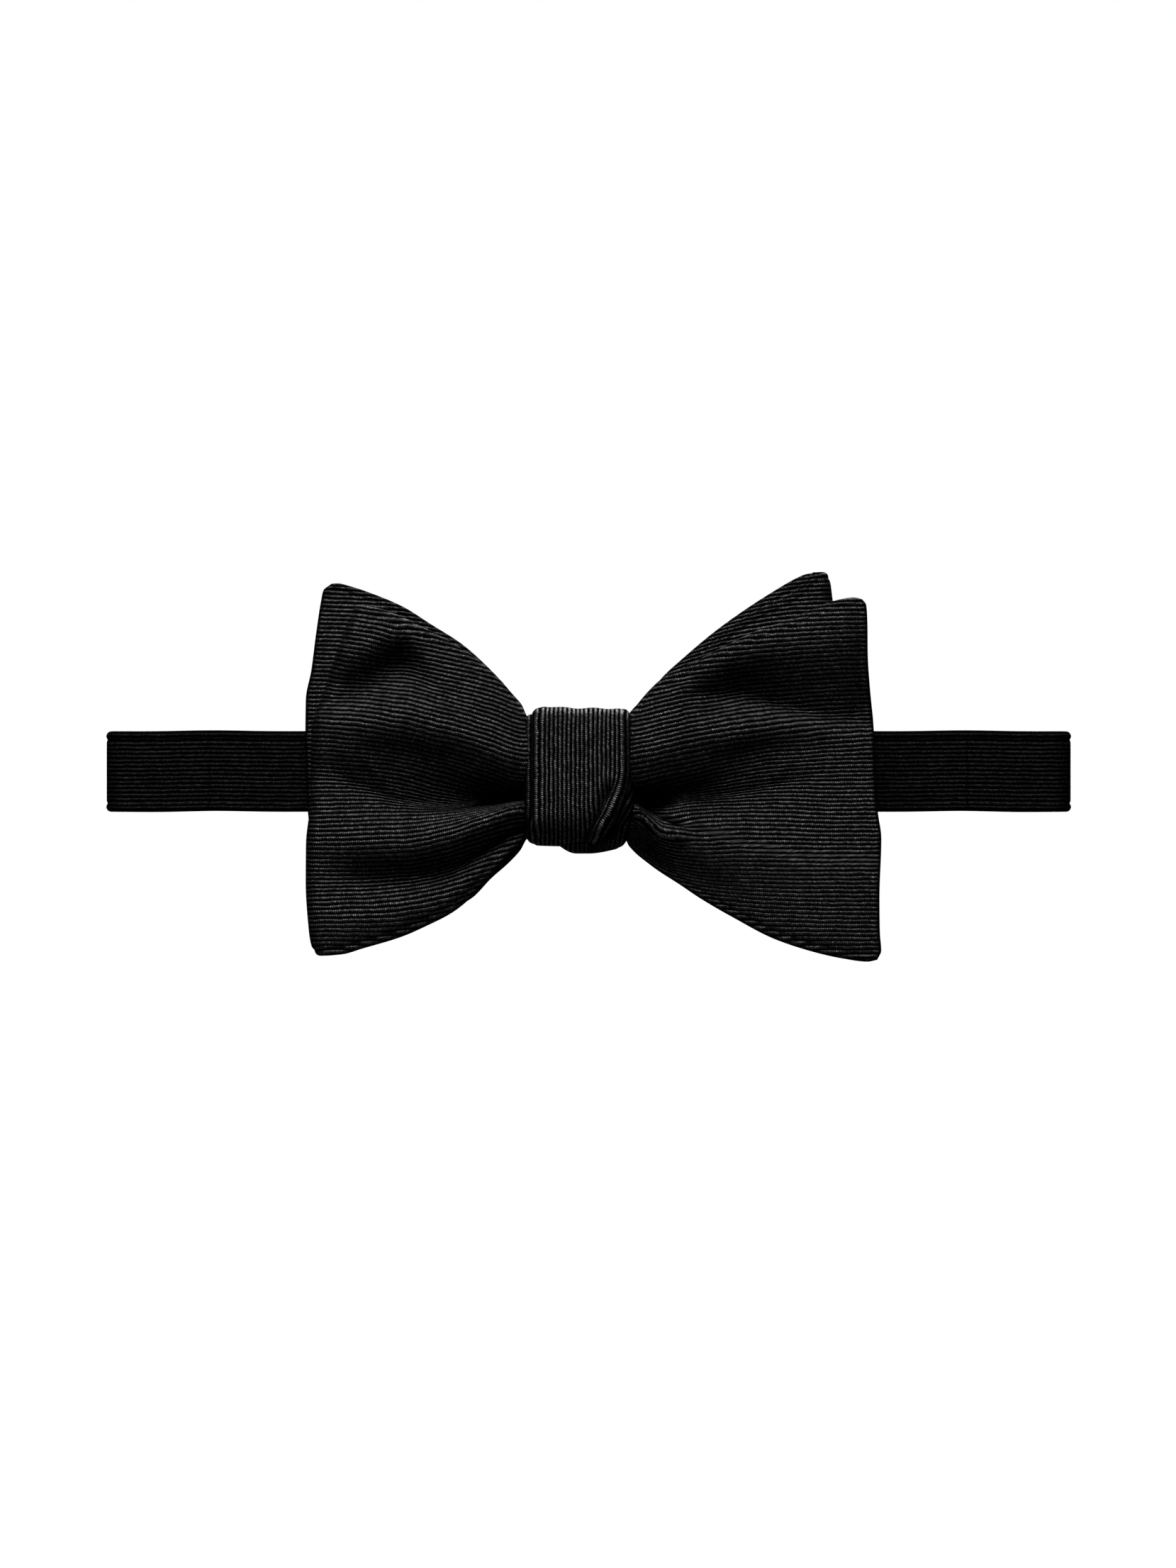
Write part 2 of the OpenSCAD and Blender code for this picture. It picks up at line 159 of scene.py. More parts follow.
def new_piece(name, vertices, faces, weave, material, flat_faces=0):
    """A mesh object from millimetre vertices. weave has three columns, in millimetres: along the ribs,
    across them, and the distance from the edge. The last flat_faces faces are shaded flat."""
    mesh = bpy.data.meshes.new(name)
    mesh.from_pydata((np.asarray(vertices) * MM).tolist(), [], [list(map(int, f)) for f in faces])
    mesh.validate()
    corner = np.empty(len(mesh.loops), np.int32)
    mesh.loops.foreach_get("vertex_index", corner)
    # The second map carries the distance from the edge, by which the silk fades its painted highlight.
    for label, values in (("weave", weave[:, :2]), ("painted_glint_fade", weave[:, 2:])):
        layer = mesh.uv_layers.new(name=label)
        pairs = np.zeros((len(weave), 2), np.float32)
        pairs[:, :values.shape[1]] = values
        layer.data.foreach_set("uv", pairs[corner].ravel())
    smooth = np.ones(len(mesh.polygons), bool)
    smooth[len(mesh.polygons) - flat_faces:] = False
    mesh.polygons.foreach_set("use_smooth", smooth)
    mesh.materials.append(material)
    piece = bpy.data.objects.new(name, mesh)
    bpy.context.scene.collection.objects.link(piece)
    return piece


def grid_faces(rows, columns, first, flip=False, wrap=False):
    """The quads of a grid of vertices numbered from first, column by column."""
    i = np.arange(rows if wrap else rows - 1)
    a = (first + i[:, None] * columns + np.arange(columns - 1)[None, :]).ravel()
    b = (first + ((i + 1) % rows)[:, None] * columns + np.arange(columns - 1)[None, :]).ravel()
    quads = np.column_stack([a, b, b + 1, a + 1])
    return quads[:, ::-1] if flip else quads


def thick_sheet(name, middle, half, weave, material, wrap=False):
    """A closed sheet round a grid of middle points. half is half the thickness at each, and it is 0 along
    the grid's long edges. wrap joins the last row to the first."""
    rows, columns = half.shape
    if wrap:
        ring = np.concatenate([middle[-1:], middle, middle[:1]])
        normal = grid_normals(ring)[1:-1]
    else:
        normal = grid_normals(middle)
    outer = middle + normal * half[..., None]
    inner = middle - normal * half[..., None]
    count = rows * columns
    vertices = np.concatenate([outer.reshape(-1, 3), inner.reshape(-1, 3)])
    # The two skins share their vertices along the long edges, where the sheet has no thickness.
    remap = np.arange(2 * count)
    grid = np.arange(count).reshape(rows, columns)
    for column in (0, columns - 1):
        remap[count + grid[:, column]] = grid[:, column]
    faces = [
        grid_faces(rows, columns, 0, wrap=wrap),
        grid_faces(rows, columns, count, flip=True, wrap=wrap),
    ]
    flat_faces = 0
    if not wrap:
        for row, turned in ((0, False), (rows - 1, True)):
            if half[row].max() > 1e-6:
                a = grid[row]
                cap = np.column_stack([a[:-1], a[1:], count + a[1:], count + a[:-1]])
                faces.append(cap[:, ::-1] if turned else cap)
                flat_faces += len(cap)
            else:
                remap[count + grid[row]] = grid[row]
    faces = remap[np.concatenate(faces)]
    used, index = np.unique(faces, return_inverse=True)
    index = index.reshape(faces.shape)
    tidy = []
    for quad in index:
        corners = list(dict.fromkeys(quad.tolist()))
        if len(corners) > 2:
            tidy.append(corners)
    both = np.concatenate([weave.reshape(-1, 3), weave.reshape(-1, 3)])
    return new_piece(name, vertices[used], tidy, both[used], material, flat_faces)


# ---- Materials -----------------------------------------------------------------------------------

class Nodes:
    """Short calls that add nodes to a material."""

    def __init__(self, name):
        self.material = bpy.data.materials.new(name)
        self.material.use_nodes = True
        self.tree = self.material.node_tree
        self.shader = self.tree.nodes["Principled BSDF"]

    def add(self, kind, *inputs, **settings):
        node = self.tree.nodes.new(kind)
        for key, value in settings.items():
            setattr(node, key, value)
        for socket, value in zip(node.inputs, inputs):
            self.put(socket, value)
        return node

    def put(self, socket, value):
        if value is None:
            return
        if isinstance(value, bpy.types.NodeSocket):
            self.tree.links.new(value, socket)
        else:
            socket.default_value = value

    def math(self, operation, *inputs):
        return self.add("ShaderNodeMath", *inputs, operation=operation).outputs[0]

    def ramp(self, value, low, high, to_low=0.0, to_high=1.0):
        limits = (low, high, to_low, to_high)
        return self.add("ShaderNodeMapRange", value, *limits, interpolation_type="SMOOTHSTEP").outputs[0]

    def noise(self, vector, scale, detail=2.0):
        node = self.add("ShaderNodeTexNoise", vector, noise_dimensions="3D")
        node.inputs["Scale"].default_value = scale
        node.inputs["Detail"].default_value = detail
        return node.outputs["Fac"]

    def set(self, **values):
        for name, value in values.items():
            self.put(self.shader.inputs[name.replace("_", " ")], value)
        return self.material


def ribbed_silk(name, gloss, fibre, rib_height=0.20, yarn_height=0.07):
    """Ribbed black silk: round ribs a pitch apart, each crossed by fine slanted yarns that catch the
    light along its crest. Crests are coloured lighter where the yarns shine, partly their own tone and
    partly a painted highlight, and the grooves are coloured near black, a painted shade. The heights are
    in millimetres."""
    n = Nodes(name)
    uv = n.add("ShaderNodeUVMap", uv_map="weave").outputs[0]
    parts = n.add("ShaderNodeSeparateXYZ", uv)
    along, across = parts.outputs[0], parts.outputs[1]
    slow = n.noise(uv, 0.35)
    quick = n.noise(uv, 2.2, 1.0)
    grain = n.noise(uv, 9.0, 1.0)
    drift = n.math("MULTIPLY", n.math("SUBTRACT", slow, 0.5), 0.35)
    jitter = n.math("MULTIPLY", n.math("SUBTRACT", quick, 0.5), 0.30)
    bent = n.math("ADD", n.math("ADD", across, drift), jitter)
    rib = n.math("DIVIDE", bent, RIB_PITCH)
    turn = n.math("FRACT", rib)
    number = n.math("FLOOR", rib)
    rib_wave = n.math("SINE", n.math("MULTIPLY", turn, math.pi))
    crown = n.math("POWER", rib_wave, 1.4)
    line = n.ramp(rib_wave, 0.45, 0.95)

    own = n.add("ShaderNodeTexWhiteNoise", None, number, noise_dimensions="1D").outputs[0]
    slant = n.math("MULTIPLY", turn, 0.8)
    yarn = n.math("ADD", n.math("ADD", n.math("DIVIDE", along, YARN_PITCH), own), slant)
    yarn_wave = n.math("SINE", n.math("MULTIPLY", n.math("FRACT", yarn), math.pi))
    cell = n.add("ShaderNodeCombineXYZ", n.math("FLOOR", yarn), number).outputs[0]
    luck = n.add("ShaderNodeTexWhiteNoise", cell, noise_dimensions="3D").outputs[0]
    lively = n.math("ADD", n.math("MULTIPLY", n.math("POWER", luck, 2.0), 0.75), 0.45)
    speck = n.math("MULTIPLY", n.ramp(yarn_wave, 0.0, 0.85, 0.25, 1.0), lively)
    # Painted highlight: the crest band of each rib, broken into a speck per yarn. It lightens the colour
    # below and sets the shine.
    painted_glint = n.math("MULTIPLY", line, speck)
    painted_glint = n.math("MULTIPLY", painted_glint, n.ramp(slow, 0.2, 0.8, 0.75, 1.2))
    # Painted shade: the painted highlight and crest tone fade towards turned edges, where light would catch
    # them.
    painted_glint_fade = n.add("ShaderNodeSeparateXYZ", n.add("ShaderNodeUVMap", uv_map="painted_glint_fade").outputs[0]).outputs[0]
    painted_glint = n.math("MULTIPLY", painted_glint, n.ramp(painted_glint_fade, 0.15, 1.1, 0.15, 1.0))

    # Painted light: where the mask is high the colour is the crest tone, partly the yarn's own and partly a
    # painted highlight. The grooves get the near-black colour A, a painted shade.
    colour = n.add("ShaderNodeMix", data_type="RGBA")
    n.put(colour.inputs["Factor"], painted_glint)
    colour.inputs["A"].default_value = (0.0013, 0.0013, 0.0014, 1)
    colour.inputs["B"].default_value = (fibre, fibre, fibre * 1.02, 1)
    height = n.math("MULTIPLY", crown, rib_height)
    height = n.math("ADD", height, n.math("MULTIPLY", n.math("MULTIPLY", yarn_wave, rib_wave), yarn_height))
    height = n.math("ADD", height, n.math("MULTIPLY", grain, 0.04))
    bump = n.add("ShaderNodeBump")
    bump.inputs["Strength"].default_value = 1.0
    bump.inputs["Distance"].default_value = MM
    n.put(bump.inputs["Height"], height)
    shine = n.math("MULTIPLY", painted_glint, gloss)
    rough = n.ramp(grain, 0.2, 0.8, 0.36, 0.48)
    return n.set(
        Base_Color=colour.outputs["Result"],
        Roughness=rough,
        Specular_IOR_Level=shine,
        Normal=bump.outputs[0],
    )


def nickel():
    """Satin nickel plate: fine rolling marks and a faint cloudiness."""
    n = Nodes("satin_nickel")
    place = n.add("ShaderNodeTexCoord").outputs["Object"]
    stretched = n.add("ShaderNodeMapping", place)
    stretched.inputs["Scale"].default_value = (400, 400, 9000)
    marks = n.noise(stretched.outputs[0], 1.0, 3.0)
    cloud = n.noise(place, 260.0, 3.0)
    colour = n.add("ShaderNodeMix", data_type="RGBA")
    n.put(colour.inputs["Factor"], cloud)
    colour.inputs["A"].default_value = (0.52, 0.51, 0.49, 1)
    colour.inputs["B"].default_value = (0.74, 0.73, 0.71, 1)
    bump = n.add("ShaderNodeBump")
    bump.inputs["Strength"].default_value = 0.25
    bump.inputs["Distance"].default_value = 0.02 * MM
    n.put(bump.inputs["Height"], marks)
    n.shader.inputs["Metallic"].default_value = 1.0
    rough = n.ramp(marks, 0.2, 0.8, 0.22, 0.42)
    return n.set(Base_Color=colour.outputs["Result"], Roughness=rough, Normal=bump.outputs[0])


def spun(name, dark, light, scale):
    """Matt thread: fine fibres of two tones."""
    n = Nodes(name)
    place = n.add("ShaderNodeTexCoord").outputs["Object"]
    fibre = n.noise(place, scale, 4.0)
    colour = n.add("ShaderNodeMix", data_type="RGBA")
    n.put(colour.inputs["Factor"], n.ramp(fibre, 0.35, 0.65))
    colour.inputs["A"].default_value = (*dark, 1)
    colour.inputs["B"].default_value = (*light, 1)
    bump = n.add("ShaderNodeBump")
    bump.inputs["Strength"].default_value = 0.6
    bump.inputs["Distance"].default_value = 0.08 * MM
    n.put(bump.inputs["Height"], fibre)
    rough = n.ramp(fibre, 0.2, 0.8, 0.6, 0.85)
    return n.set(Base_Color=colour.outputs["Result"], Roughness=rough, Normal=bump.outputs[0])


WING_SILK = ribbed_silk("wing_silk", 0.86, 0.028)
KNOT_SILK = ribbed_silk("knot_silk", 1.08, 0.028, 0.18, 0.10)
# Painted shade: the band is the same silk with half the crest tone and far less shine.
BAND_SILK_PAINTED_SHADE = ribbed_silk("band_silk", 0.10, 0.014)
NICKEL = nickel()
THREAD = spun("black_thread", (0.004, 0.004, 0.0045), (0.03, 0.03, 0.032), 4000.0)


# ---- Wings ---------------------------------------------------------------------------------------

# How far the close rows of vertices lie from a turned edge, and the spacing of the others on a wing.
EDGE_ROWS = [0, 0.07, 0.22, 0.45, 0.8, 1.15, 1.5, 1.75, 2.0, 2.4, 3.0]
STEP_ALONG = 0.62
STEP_ACROSS = 0.72


class Relief:
    """A pleated leaf. Each crease runs from the knot to the tip. At each station along x it has (z, y, rib):
    its height, its depth and the place across the cloth that lies there."""

    def __init__(self, stations, creases):
        self.stations = np.asarray(stations, float)
        order = np.asarray(list(creases.values()), float)
        if self.stations[0] > self.stations[-1]:
            self.stations = self.stations[::-1]
            order = order[:, ::-1]
        self.creases = order[::-1]

    def read(self, x, z):
        """(y, rib) at each place of the leaf."""
        flat_x = x.ravel()
        lines = [[steady(self.stations, crease[:, k], flat_x) for crease in self.creases] for k in range(3)]
        heights, depths, ribs = np.array(lines)
        y = steady(heights, depths, z.ravel()).reshape(x.shape)
        rib = steady(heights, ribs, z.ravel()).reshape(x.shape)
        return y, rib


def leaf_places(top, bottom, tip, end_rows):
    """The (x, z) grid of a leaf between four lines: its root, top and bottom, which run from the knot to the
    tip, and tip, which runs from bottom to top. Also each place's distance from the long edges and from the
    tip. end_rows sets close rows of vertices at the tip."""
    top, bottom, tip = Line(top), Line(bottom), Line(tip)
    length = (top.length + bottom.length) / 2
    if end_rows:
        s = spread(length, STEP_ALONG, EDGE_ROWS) / length
        s = np.concatenate([np.linspace(0, s[len(EDGE_ROWS)], 5)[:-1], s[len(EDGE_ROWS):]])
    else:
        s = np.linspace(0, 1, int(length / STEP_ALONG))
    gap = top.at(s) - bottom.at(s)
    width = np.linalg.norm(gap, axis=1)
    model = 50.0
    margin = EDGE_ROWS[-1]
    across = spread(model, STEP_ACROSS, EDGE_ROWS)
    inner = (across > margin) & (across < model - margin)
    rows = []
    for w in width:
        row = np.where(across <= margin, across, across - model + w)
        row[inner] = margin + (across[inner] - margin) / (model - 2 * margin) * (w - 2 * margin)
        rows.append(row / w)
    v = np.array(rows)
    u = s[:, None] * np.ones_like(v)
    root = Line([bottom.points[0], top.points[0]])
    place = (1 - v)[..., None] * bottom.at(u) + v[..., None] * top.at(u)
    place += (1 - u)[..., None] * root.at(v) + u[..., None] * tip.at(v)
    for line, across_weight in ((bottom, 1 - v), (top, v)):
        place -= ((1 - u) * across_weight)[..., None] * line.points[0]
        place -= (u * across_weight)[..., None] * line.points[-1]
    side = np.minimum(v, 1 - v) * width[:, None]
    end = (1 - u) * length
    return place[..., 0], place[..., 1], side, end


def leaf(name, top, bottom, tip, relief, detail=None):
    """A wing's flat end: one pleated leaf with three turned edges."""
    x, z, side, end = leaf_places(top, bottom, tip, True)
    y, rib = relief.read(x, z)
    if detail:
        y = detail(x, y, z)
    middle = np.stack([x, y, z], axis=-1)
    weave = np.stack([arc_run(middle, 0), rib, np.minimum(side, end)], axis=-1)
    half = edge_profile(np.minimum(side, end), LEAF_T)
    half[:, 0] = half[:, -1] = half[-1] = 0
    return thick_sheet(name, middle, half, weave, WING_SILK)


def loop(name, front, rear, fold_r):
    """A wing's folded end: a front leaf, a round fold at the tip and a rear leaf. front and rear are
    (top, bottom, tip, relief), and the two tips are the line along which the fold turns."""
    grids = []
    for top, bottom, tip, relief in (front, rear):
        x, z, side, _ = leaf_places(top, bottom, tip, False)
        y, rib = relief.read(x, z)
        grids.append((np.stack([x, y, z], axis=-1), rib, side))
    (front_mid, front_rib, front_side), (rear_mid, rear_rib, rear_side) = grids
    outward = np.sign(front_mid[-1, 0, 0])
    a, b = front_mid[-1], rear_mid[-1]
    turns = []
    for angle in np.linspace(0, math.pi, 11)[1:-1]:
        share = (1 - math.cos(angle)) / 2
        arc = a + (b - a) * share
        arc[:, 0] += outward * fold_r * math.sin(angle)
        turns.append(arc)
    middle = np.concatenate([front_mid, turns, rear_mid[::-1]])
    shares = np.linspace(0, 1, len(turns) + 2)[1:-1]
    turn_rib = [front_rib[-1] * (1 - t) + rear_rib[-1] * t for t in shares]
    turn_side = [front_side[-1] * (1 - t) + rear_side[-1] * t for t in shares]
    rib = np.concatenate([front_rib, turn_rib, rear_rib[::-1]])
    side = np.concatenate([front_side, turn_side, rear_side[::-1]])
    weave = np.stack([arc_run(middle, 0), rib, side], axis=-1)
    half = edge_profile(side, LEAF_T)
    half[:, 0] = half[:, -1] = 0
    return thick_sheet(name, middle, half, weave, WING_SILK)


LEFT_STATIONS = [-8, -13.5, -20, -29, -38, -46, -56]
LEFT_FRONT = Relief(LEFT_STATIONS, {
    "top": [(10.2, -12.6, 19.5), (12.9, -13.0, 21.5), (20.8, -13.6, 27), (27.6, -13.0, 31.4),
            (32.2, -12.7, 34), (34.9, -12.0, 35.6), (38, -11.4, 38)],
    "shoulder": [(8.5, -13.8, 17.8), (10.8, -14.6, 19.3), (17.3, -14.8, 23.4), (24, -14.0, 27.8),
                 (29.0, -14.6, 31), (25.5, -14.0, 26.4), (22, -12.2, 22)],
    "dent": [(6.5, -14.8, 15), (8, -15.4, 16.4), (12.3, -15.8, 18.4), (16.5, -14.7, 20.3),
             (20.5, -11.1, 22.3), (16.4, -10.7, 17.1), (13, -11.4, 13)],
    "upper_ridge": [(3, -15.4, 11.2), (3.5, -16.0, 11.8), (5.8, -16.8, 12), (9.4, -16.9, 13),
                    (10.6, -16.0, 12.2), (9.6, -14.3, 10.2), (9, -12.0, 9)],
    "mouth": [(-1.5, -14.0, 6.6), (-1.6, -14.4, 6.5), (-0.4, -14.4, 5.8), (1.8, -13.7, 5.4),
              (3.0, -13.1, 4.6), (4.6, -12.9, 5.2), (5, -11.9, 5)],
    "brink": [(-4.1, -10.7, 1), (-4.5, -10.6, 0.8), (-5.6, -10.4, -0.8), (-6.1, -10.35, -3.2),
              (-5.1, -10.3, -4), (-2.1, -10.35, -1.7), (1.3, -11.3, 1.3)],
    "deep_fold": [(-5.4, -10, -4), (-5.8, -9.9, -4.2), (-6.9, -9.8, -5.4), (-7.4, -9.8, -6.6),
                  (-6.4, -9.75, -6), (-3.4, -9.8, -3.2), (0, -11.2, 0)],
    "lower_ridge": [(-7.4, -14.2, -13.6), (-7.6, -14.6, -13.9), (-9.6, -15.0, -14.3), (-12.8, -14.6, -14.7),
                    (-14.5, -13.8, -14.9), (-14.2, -13.4, -14.4), (-13, -12.0, -13)],
    "lower_dent": [(-10.5, -11.3, -18), (-11.6, -11.2, -18.4), (-15.6, -11.2, -20.6), (-21, -10.7, -23.4),
                   (-22.6, -10.5, -23.4), (-23, -10.5, -23.2), (-23, -11.3, -23)],
    "low_ridge": [(-11.6, -12.0, -20), (-13.4, -12.2, -21), (-18.4, -12.6, -24), (-25.4, -12.4, -28),
                  (-28, -12.4, -28.8), (-29.5, -12.3, -29.7), (-29, -11.7, -29)],
    "bottom": [(-12.6, -11.4, -23), (-16, -11.2, -25), (-22.4, -10.9, -29), (-30.2, -10.6, -33),
               (-34.4, -10.6, -35), (-36.6, -10.5, -36.8), (-39, -10.9, -39)],
})


# Each pleat's height, from the leaf's bottom (0) to its top (1), and how far it stands out.
PLEATS = [(1.06, 0), (0.84, 1), (0.62, -1), (0.46, 0.8), (0.30, -1), (0.14, 0.7), (-0.06, 0)]


def plain_relief(stations, depths, ripple, top, bottom, lean_in=0.0):
    """A quieter leaf: depths at the knot and the tip, and a ripple of pleats that dies down towards the tip.
    At the tip its top edge leans towards the viewer by about lean_in."""
    stations = np.asarray(stations, float)
    reach = np.abs(stations)
    s = np.clip((reach - 13) / (reach.max() - 13), 0, 1)
    fan = [0, 0.3, 0.62, 0.85, 0.96, 1, 1.02][:len(s)]
    high = np.array([11.5 + (top - 11.5) * f for f in fan])
    low = np.array([-13 + (bottom + 13) * f for f in fan])
    base = depths[0] + (depths[1] - depths[0]) * s
    creases = {}
    for share, lean in PLEATS:
        z = low + (high - low) * share
        y = base - ripple * lean * (1 - 0.75 * s) - lean_in * s * max(0, (share - 0.62) / 0.44)
        rib = bottom + (top - bottom) * share + (z - bottom - (top - bottom) * share) * 0.5
        creases[share] = list(zip(z, y, rib))
    return Relief(stations, creases)


def left_front_loop():
    fold_r = 2.1
    fold = [(-54.2 + fold_r, -37.4), (-55.7 + fold_r, -35.2), (-56.3 + fold_r, -30.8),
            (-56.8 + fold_r, -22.6), (-56.7 + fold_r, -14.4), (-56.0 + fold_r, -7.8),
            (-55.8 + fold_r, 0), (-55.6 + fold_r, 8.2), (-54.3 + fold_r, 13.1), (-52.5 + fold_r, 18.2),
            (-50.9 + fold_r, 22.8), (-49.2 + fold_r, 27.4), (-47.9 + fold_r, 30.9),
            (-46.6 + fold_r, 33.4)]
    top = [(-8, 9.9), (-12.4, 10.9), (-14, 13.6), (-18.5, 18.9), (-22.8, 22.8), (-26, 25), (-32.6, 28.6),
           (-38, 31.2), (-42, 32.8), (-46.6 + fold_r, 33.4)]
    bottom = [(-8, -11.8), (-12.4, -12.9), (-14, -14.8), (-17, -17.7), (-19.8, -20.8), (-24.4, -26.0),
              (-28, -28.8), (-32.6, -31.2), (-38, -33.6), (-45.9, -36.0), (-50, -37.2),
              (-54.2 + fold_r, -37.4)]
    rear_top = [(-8, 9.4), (-12.4, 10.4), (-14, 12.8), (-18.5, 17.9), (-26, 24), (-38, 30.4),
                (-46.6 + fold_r, 33.4)]
    rear_bottom = [(-8, -11.4), (-12.4, -12.8), (-14, -15.0), (-19.8, -21.2), (-28, -28.4), (-38, -33.2),
                   (-54.2 + fold_r, -37.4)]
    rear = plain_relief([-8, -14, -20, -29, -40, -56], (-7.7, -7.4), 0.35, 34, -37)
    return loop("front_loop", (top, bottom, fold, LEFT_FRONT), (rear_top, rear_bottom, fold, rear), fold_r)


def left_back_end():
    tip = [(-56.0, -33.6), (-57.0, -30), (-57.0, -14.4), (-57.5, -7.8), (-58.0, 7.9), (-57.9, 14.8),
           (-56.8, 20.5), (-55.8, 28.1), (-54.8, 34.7), (-54.3, 37.0), (-52.6, 38.4)]
    top = [(-8, 9.4), (-12.2, 10.8), (-13.8, 13.8), (-15.2, 15.4), (-19.5, 20.2), (-26, 26.1),
           (-32.1, 30.0), (-38, 33.7), (-43.3, 36.0), (-49.2, 38.0), (-51.4, 38.5), (-52.6, 38.4)]
    bottom = [(-8, -12.0), (-12.4, -13.6), (-14, -16.2), (-16.1, -18.5), (-19.8, -21.8), (-24.4, -26.3),
              (-30, -28.6), (-38, -31.2), (-48, -33.2), (-54.4, -34.2), (-56.0, -33.6)]
    relief = plain_relief([-8, -14, -20, -29, -40, -50, -58], (-4.5, -4.3), 0.5, 37, -34)
    return leaf("back_end", top, bottom, tip, relief)


RIGHT_STATIONS = [4, 8.9, 15, 22, 30, 40, 50, 60]
RIGHT_FRONT = Relief(RIGHT_STATIONS, {
    "top": [(10, -12.4, 17), (12.2, -12.8, 18.4), (19.4, -13.6, 24.1), (23, -14.0, 26.2),
            (26.9, -14.2, 28.8), (31, -14.6, 31.9), (35, -15.2, 35.3), (37, -14.4, 37)],
    "shoulder": [(8, -13.6, 14), (10, -14.2, 16.2), (16, -14.8, 20.7), (20.2, -14.6, 23.4),
                 (24.6, -15.0, 26.5), (28, -15.3, 28.9), (31, -16.0, 31.3), (32, -15.2, 32)],
    "dent_brink": [(7, -14.2, 13), (9, -14.8, 15.2), (14.2, -15.2, 18.9), (17.2, -14.1, 20.3),
                   (17.1, -11.6, 19), (14.5, -10.4, 15.5), (12.5, -10.3, 12.8), (12.5, -10.5, 12.5)],
    "dent": [(6, -14.8, 12), (8, -15.4, 14.2), (12.5, -15.6, 17.2), (15.6, -13.6, 18.8),
             (15.6, -11.0, 17.6), (13.0, -9.8, 14), (11, -9.75, 11.3), (11, -10.0, 11)],
    "upper_ridge": [(3, -15.4, 9), (4, -16.0, 10.2), (5.5, -16.4, 10.4), (7, -15.4, 10.4),
                    (8.2, -14.6, 10.3), (8.8, -12.6, 9.8), (7.2, -11.2, 7.6), (6, -11.0, 6)],
    "mouth": [(-1.5, -14, 4.6), (-2.2, -14.4, 4.2), (-0.8, -14.4, 4.4), (0.8, -13.6, 4.6),
              (3.2, -12.7, 5.4), (4.8, -11.6, 5.8), (4.0, -10.9, 4.4), (3, -11.2, 3)],
    "brink": [(-4.7, -10.7, 0), (-5.1, -10.6, -0.2), (-5.6, -10.4, -1.6), (-4.6, -10.4, -2.4),
              (-3.5, -10.35, -2.2), (-1.1, -10.45, -0.6), (0.7, -10.7, 0.9), (1.3, -11.0, 1.3)],
    "deep_fold": [(-6.0, -10, -3.5), (-6.4, -9.9, -3.8), (-6.9, -9.8, -4.6), (-5.9, -9.8, -4.8),
                  (-4.8, -9.8, -4.2), (-2.4, -9.9, -2.2), (-0.6, -10.5, -0.4), (0, -11.0, 0)],
    "lower_ridge": [(-7.6, -14, -12.4), (-8.0, -14.4, -12.6), (-12.6, -14.0, -13.4), (-14.5, -14.4, -14.5),
                    (-17, -13.8, -17.2), (-20, -13.0, -20), (-23, -12.6, -23), (-24, -12.2, -24)],
    "low_dent": [(-10.5, -12.0, -16.5), (-11.4, -12, -17), (-17.5, -11.3, -20), (-22.4, -11.1, -24),
                 (-26, -11.2, -27), (-31, -11.6, -31.4), (-33.5, -11.8, -33.6), (-34, -11.7, -34)],
    "bottom": [(-13, -11, -22.5), (-15.8, -11, -23.5), (-21.4, -10.4, -25.5), (-26.2, -10.2, -28.5),
               (-31, -10.2, -32), (-36, -10.4, -36), (-39, -10.7, -39), (-40, -11.0, -40)],
})


def pouch(x, y, z):
    """The depths of the right front end with its small round fold low beside the knot and the crease above
    that. Its tip leans back in the upper half."""
    ridge = -8.0 - 6.3 * (1 - np.exp(-(x - 9.4) / 4.6))
    here = smooth_step(8.2, 10, x) * (1 - smooth_step(17, 22, x))
    bulge = hump(x, 19.0, 3.4) * hump(z, -8.6, 3.0)
    lip = hump(z - ridge, 0, 0.9) * here
    groove = hump(z - ridge - 2.2, 0, 1.2) * here
    y = y - 2.2 * bulge + 1.8 * groove - 1.0 * lip
    away = smooth_step(51, 59.5, x) * smooth_step(4, 12, z) * (1 - smooth_step(31, 36, z))
    return np.minimum(y + 0.9 * away, -9.75)


def right_front_end():
    tip = [(58.6, -38.3), (59.4, -36.4), (59.1, -32.7), (59.0, -25.4), (59.4, -13.5), (58.7, -8.1),
           (58.3, 0), (57.9, 9.8), (57.1, 17.1), (56.5, 23.8), (56.3, 31), (56.1, 33.6), (55.2, 34.8)]
    top = [(4, 9.6), (7.2, 10.0), (8.7, 12.0), (11.6, 15.4), (15.3, 19.0), (19.7, 21.3), (22.7, 22.8),
           (28.5, 25.7), (33.6, 28.2), (39.6, 30.3), (45.8, 33.0), (49.1, 34.3), (53.6, 35.1),
           (55.2, 34.8)]
    bottom = [(4, -12), (7.0, -13), (8.2, -15.2), (12.7, -19.2), (18.9, -23.3), (22.6, -25.8),
              (30.0, -30.1), (37.3, -33.9), (42.9, -35.9), (48.0, -37.3), (51.3, -38.0), (56.6, -38.7),
              (58.6, -38.3)]
    return leaf("front_end", top, bottom, tip, RIGHT_FRONT, pouch)


